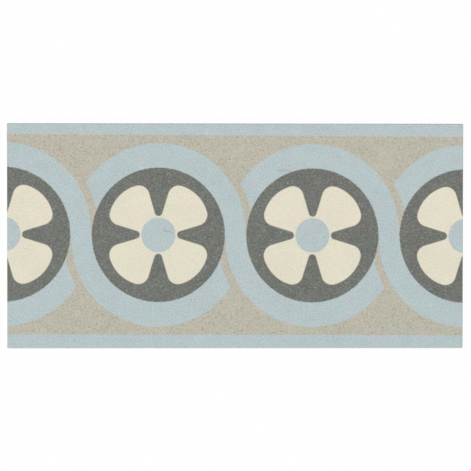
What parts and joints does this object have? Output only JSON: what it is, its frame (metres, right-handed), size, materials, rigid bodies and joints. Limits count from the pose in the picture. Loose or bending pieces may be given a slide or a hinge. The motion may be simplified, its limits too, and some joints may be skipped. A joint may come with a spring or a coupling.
{
  "type": "patterned border tile",
  "caption": "Flat rectangular fired floor tile with a printed border of woven bands and four-petal rosettes between plain stripes; lies on its ribbed bed.",
  "frame": {"origin": "middle of the bed plane, the face that goes down into the adhesive", "axes": "+X along the length of the tile and the run of the border, +Y across its width, +Z out of the wear face"},
  "size_m": [0.298, 0.147, 0.009],
  "materials": {
    "glazed_body": "satin matt printed glaze in beige, pale blue, dark grey and cream over a pale fired body"
  },
  "bodies": {
    "root": {"tile": "glazed_body"}
  },
  "joints": []
}
